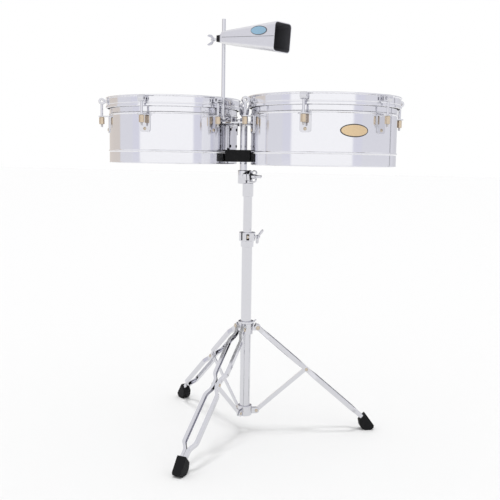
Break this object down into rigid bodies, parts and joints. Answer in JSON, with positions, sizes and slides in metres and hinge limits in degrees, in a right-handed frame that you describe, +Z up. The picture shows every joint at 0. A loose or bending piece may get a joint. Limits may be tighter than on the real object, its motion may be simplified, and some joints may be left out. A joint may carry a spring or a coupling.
{
  "type": "timbales",
  "caption": "Pair of metal drums with a cowbell on a tilting post, on a height-adjustable folding tripod stand.",
  "frame": {"origin": "centre of the whole instrument's footprint, on the floor", "axes": "+Z up; +X along the line of the two drums, from the 14 inch drum to the 15 inch drum; the player stands on the +Y side and the cowbell points to -Y and +X"},
  "size_m": [0.8206, 0.6016, 1.131],
  "materials": {
    "chrome": "bright chrome plate, mirror polished",
    "brass": "bright brass-tinted plate on nuts",
    "rubber": "matte black moulded rubber",
    "drumhead": "coated white film with a fine grain"
  },
  "bodies": {
    "base": {"base_tube": "chrome", "brace_hub": "chrome", "height_clamp": "chrome"},
    "leg_1": {"leg_1_bar_left": "chrome", "leg_1_bar_right": "chrome", "leg_1_foot": "rubber"},
    "brace_1": {"brace_1": "chrome"},
    "leg_2": {"leg_2_bar_left": "chrome", "leg_2_bar_right": "chrome", "leg_2_foot": "rubber"},
    "brace_2": {"brace_2": "chrome"},
    "leg_3": {"leg_3_bar_left": "chrome", "leg_3_bar_right": "chrome", "leg_3_foot": "rubber"},
    "brace_3": {"brace_3": "chrome"},
    "leg_hub": {"leg_hub": "chrome"},
    "leg_hub_screw": {"leg_hub_wing_screw": "chrome"},
    "mast": {"mast": "chrome"},
    "height_clamp_screw": {"height_clamp_screw": "chrome"},
    "tilter_head": {"tilter_head": "chrome"},
    "tilter_screw": {"tilter_wing_screw": "chrome"},
    "drums": {"post": "chrome", "bridge_bracket": "chrome", "bumper_block": "rubber", "shell_14in": "chrome", "head_14in": "drumhead", "hoop_14in": "chrome", "drum_mount_14in": "chrome", "lug_bracket_14in_1": "chrome", "lug_bracket_14in_2": "chrome", "lug_bracket_14in_3": "chrome", "lug_bracket_14in_4": "chrome", "lug_bracket_14in_5": "chrome", "lug_bracket_14in_6": "chrome", "shell_15in": "chrome", "head_15in": "drumhead", "hoop_15in": "chrome", "drum_mount_15in": "chrome", "lug_bracket_15in_1": "chrome", "lug_bracket_15in_2": "chrome", "lug_bracket_15in_3": "chrome", "lug_bracket_15in_4": "chrome", "lug_bracket_15in_5": "chrome", "lug_bracket_15in_6": "chrome"},
    "bridge_nut": {"bridge_wing_nut": "chrome"},
    "cowbell_rod": {"cowbell_rod": "chrome"},
    "cowbell": {"cowbell": "chrome"},
    "cowbell_screw": {"cowbell_wing_screw": "chrome"},
    "tension_nut_14in_1": {"tension_nut_14in_1": "brass"},
    "tension_nut_14in_2": {"tension_nut_14in_2": "brass"},
    "tension_nut_14in_3": {"tension_nut_14in_3": "brass"},
    "tension_nut_14in_4": {"tension_nut_14in_4": "brass"},
    "tension_nut_14in_5": {"tension_nut_14in_5": "brass"},
    "tension_nut_14in_6": {"tension_nut_14in_6": "brass"},
    "tension_nut_15in_1": {"tension_nut_15in_1": "brass"},
    "tension_nut_15in_2": {"tension_nut_15in_2": "brass"},
    "tension_nut_15in_3": {"tension_nut_15in_3": "brass"},
    "tension_nut_15in_4": {"tension_nut_15in_4": "brass"},
    "tension_nut_15in_5": {"tension_nut_15in_5": "brass"},
    "tension_nut_15in_6": {"tension_nut_15in_6": "brass"}
  },
  "joints": [
    {"name": "fold", "type": "hinge", "parent": "base", "child": "brace_1", "pos_m": [0.0318, 0.08332, 0.0593], "axis": [0.3891, -0.9212, 0], "range_deg": [0, 45]},
    {"name": "knee_1", "type": "hinge", "parent": "brace_1", "child": "leg_1", "pos_m": [0.16117, 0.13797, 0.17988], "axis": [-0.3891, 0.9212, 0], "range_deg": [0, 90]},
    {"name": "brace_2_pivot", "type": "hinge", "parent": "base", "child": "brace_2", "pos_m": [-0.02492, 0.09039, 0.0593], "axis": [0.6032, 0.7976, 0], "range_deg": [0, 45]},
    {"name": "knee_2", "type": "hinge", "parent": "brace_2", "child": "leg_2", "pos_m": [-0.13693, 0.1751, 0.17988], "axis": [-0.6032, -0.7976, 0], "range_deg": [0, 90]},
    {"name": "brace_3_pivot", "type": "hinge", "parent": "base", "child": "brace_3", "pos_m": [-0.00268, 0.03773, 0.0593], "axis": [-0.9923, 0.1236, 0], "range_deg": [0, 45]},
    {"name": "knee_3", "type": "hinge", "parent": "brace_3", "child": "leg_3", "pos_m": [-0.02004, -0.10162, 0.17988], "axis": [0.9923, -0.1236, 0], "range_deg": [0, 90]},
    {"name": "leg_hub_pivot", "type": "hinge", "parent": "leg_1", "child": "leg_hub", "pos_m": [0.0318, 0.08332, 0.30046], "axis": [0.3891, -0.9212, 0], "range_deg": [0, 45]},
    {"name": "leg_hub_screw_turn", "type": "hinge", "parent": "leg_hub", "child": "leg_hub_screw", "pos_m": [0.0014, 0.07048, 0.30046], "axis": [0.1236, 0.9923, 0], "continuous": true},
    {"name": "mast_slide", "type": "slide", "parent": "base", "child": "mast", "axis": [0, 0, 1], "range_m": [-0.09, 0.15]},
    {"name": "height_clamp_screw_turn", "type": "hinge", "parent": "base", "child": "height_clamp_screw", "pos_m": [0.01455, 0.05893, 0.55685], "axis": [0.66, 0.7513, 0], "continuous": true},
    {"name": "tilt", "type": "hinge", "parent": "mast", "child": "tilter_head", "pos_m": [0.0014, 0.07048, 0.7226], "axis": [1, 0, 0], "range_deg": [-30, 30]},
    {"name": "tilter_screw_turn", "type": "hinge", "parent": "mast", "child": "tilter_screw", "pos_m": [0.0014, 0.07048, 0.7226], "axis": [1, 0, 0], "continuous": true},
    {"name": "drum_swivel", "type": "hinge", "parent": "tilter_head", "child": "drums", "pos_m": [-0.0127, 0.07048, 0.75], "axis": [0, 0, 1], "continuous": true},
    {"name": "bridge_nut_turn", "type": "hinge", "parent": "drums", "child": "bridge_nut", "pos_m": [-0.0127, 0.07048, 0.885], "axis": [0, 0, 1], "continuous": true},
    {"name": "cowbell_rod_lean", "type": "hinge", "parent": "drums", "child": "cowbell_rod", "pos_m": [-0.0446, -0.00852, 0.8755], "axis": [0.4061, 0.9138, 0], "range_deg": [0, 20]},
    {"name": "cowbell_swing", "type": "hinge", "parent": "cowbell_rod", "child": "cowbell", "pos_m": [-0.0446, -0.00852, 1.082], "axis": [0, 0, 1], "continuous": true},
    {"name": "cowbell_screw_turn", "type": "hinge", "parent": "cowbell", "child": "cowbell_screw", "pos_m": [-0.0446, -0.00852, 1.082], "axis": [-0.9272, 0.3746, 0], "continuous": true},
    {"name": "tension_nut_14in_1_turn", "type": "hinge", "parent": "drums", "child": "tension_nut_14in_1", "pos_m": [-0.05033, 0.16988, 0.87], "axis": [0, 0, 1], "continuous": true},
    {"name": "tension_nut_14in_2_turn", "type": "hinge", "parent": "drums", "child": "tension_nut_14in_2", "pos_m": [-0.2225, 0.26928, 0.87], "axis": [0, 0, 1], "continuous": true},
    {"name": "tension_nut_14in_3_turn", "type": "hinge", "parent": "drums", "child": "tension_nut_14in_3", "pos_m": [-0.39467, 0.16988, 0.87], "axis": [0, 0, 1], "continuous": true},
    {"name": "tension_nut_14in_4_turn", "type": "hinge", "parent": "drums", "child": "tension_nut_14in_4", "pos_m": [-0.39467, -0.02892, 0.87], "axis": [0, 0, 1], "continuous": true},
    {"name": "tension_nut_14in_5_turn", "type": "hinge", "parent": "drums", "child": "tension_nut_14in_5", "pos_m": [-0.2225, -0.12832, 0.87], "axis": [0, 0, 1], "continuous": true},
    {"name": "tension_nut_14in_6_turn", "type": "hinge", "parent": "drums", "child": "tension_nut_14in_6", "pos_m": [-0.05033, -0.02892, 0.87], "axis": [0, 0, 1], "continuous": true},
    {"name": "tension_nut_15in_1_turn", "type": "hinge", "parent": "drums", "child": "tension_nut_15in_1", "pos_m": [0.39296, 0.17623, 0.87], "axis": [0, 0, 1], "continuous": true},
    {"name": "tension_nut_15in_2_turn", "type": "hinge", "parent": "drums", "child": "tension_nut_15in_2", "pos_m": [0.2098, 0.28198, 0.87], "axis": [0, 0, 1], "continuous": true},
    {"name": "tension_nut_15in_3_turn", "type": "hinge", "parent": "drums", "child": "tension_nut_15in_3", "pos_m": [0.02664, 0.17623, 0.87], "axis": [0, 0, 1], "continuous": true},
    {"name": "tension_nut_15in_4_turn", "type": "hinge", "parent": "drums", "child": "tension_nut_15in_4", "pos_m": [0.02664, -0.03527, 0.87], "axis": [0, 0, 1], "continuous": true},
    {"name": "tension_nut_15in_5_turn", "type": "hinge", "parent": "drums", "child": "tension_nut_15in_5", "pos_m": [0.2098, -0.14102, 0.87], "axis": [0, 0, 1], "continuous": true},
    {"name": "tension_nut_15in_6_turn", "type": "hinge", "parent": "drums", "child": "tension_nut_15in_6", "pos_m": [0.39296, -0.03527, 0.87], "axis": [0, 0, 1], "continuous": true}
  ],
  "couplings": [
    {"joint": "knee_1", "follows": "fold", "ratio": 2},
    {"joint": "brace_2_pivot", "follows": "fold", "ratio": 1},
    {"joint": "knee_2", "follows": "fold", "ratio": 2},
    {"joint": "brace_3_pivot", "follows": "fold", "ratio": 1},
    {"joint": "knee_3", "follows": "fold", "ratio": 2},
    {"joint": "leg_hub_pivot", "follows": "fold", "ratio": 1}
  ]
}
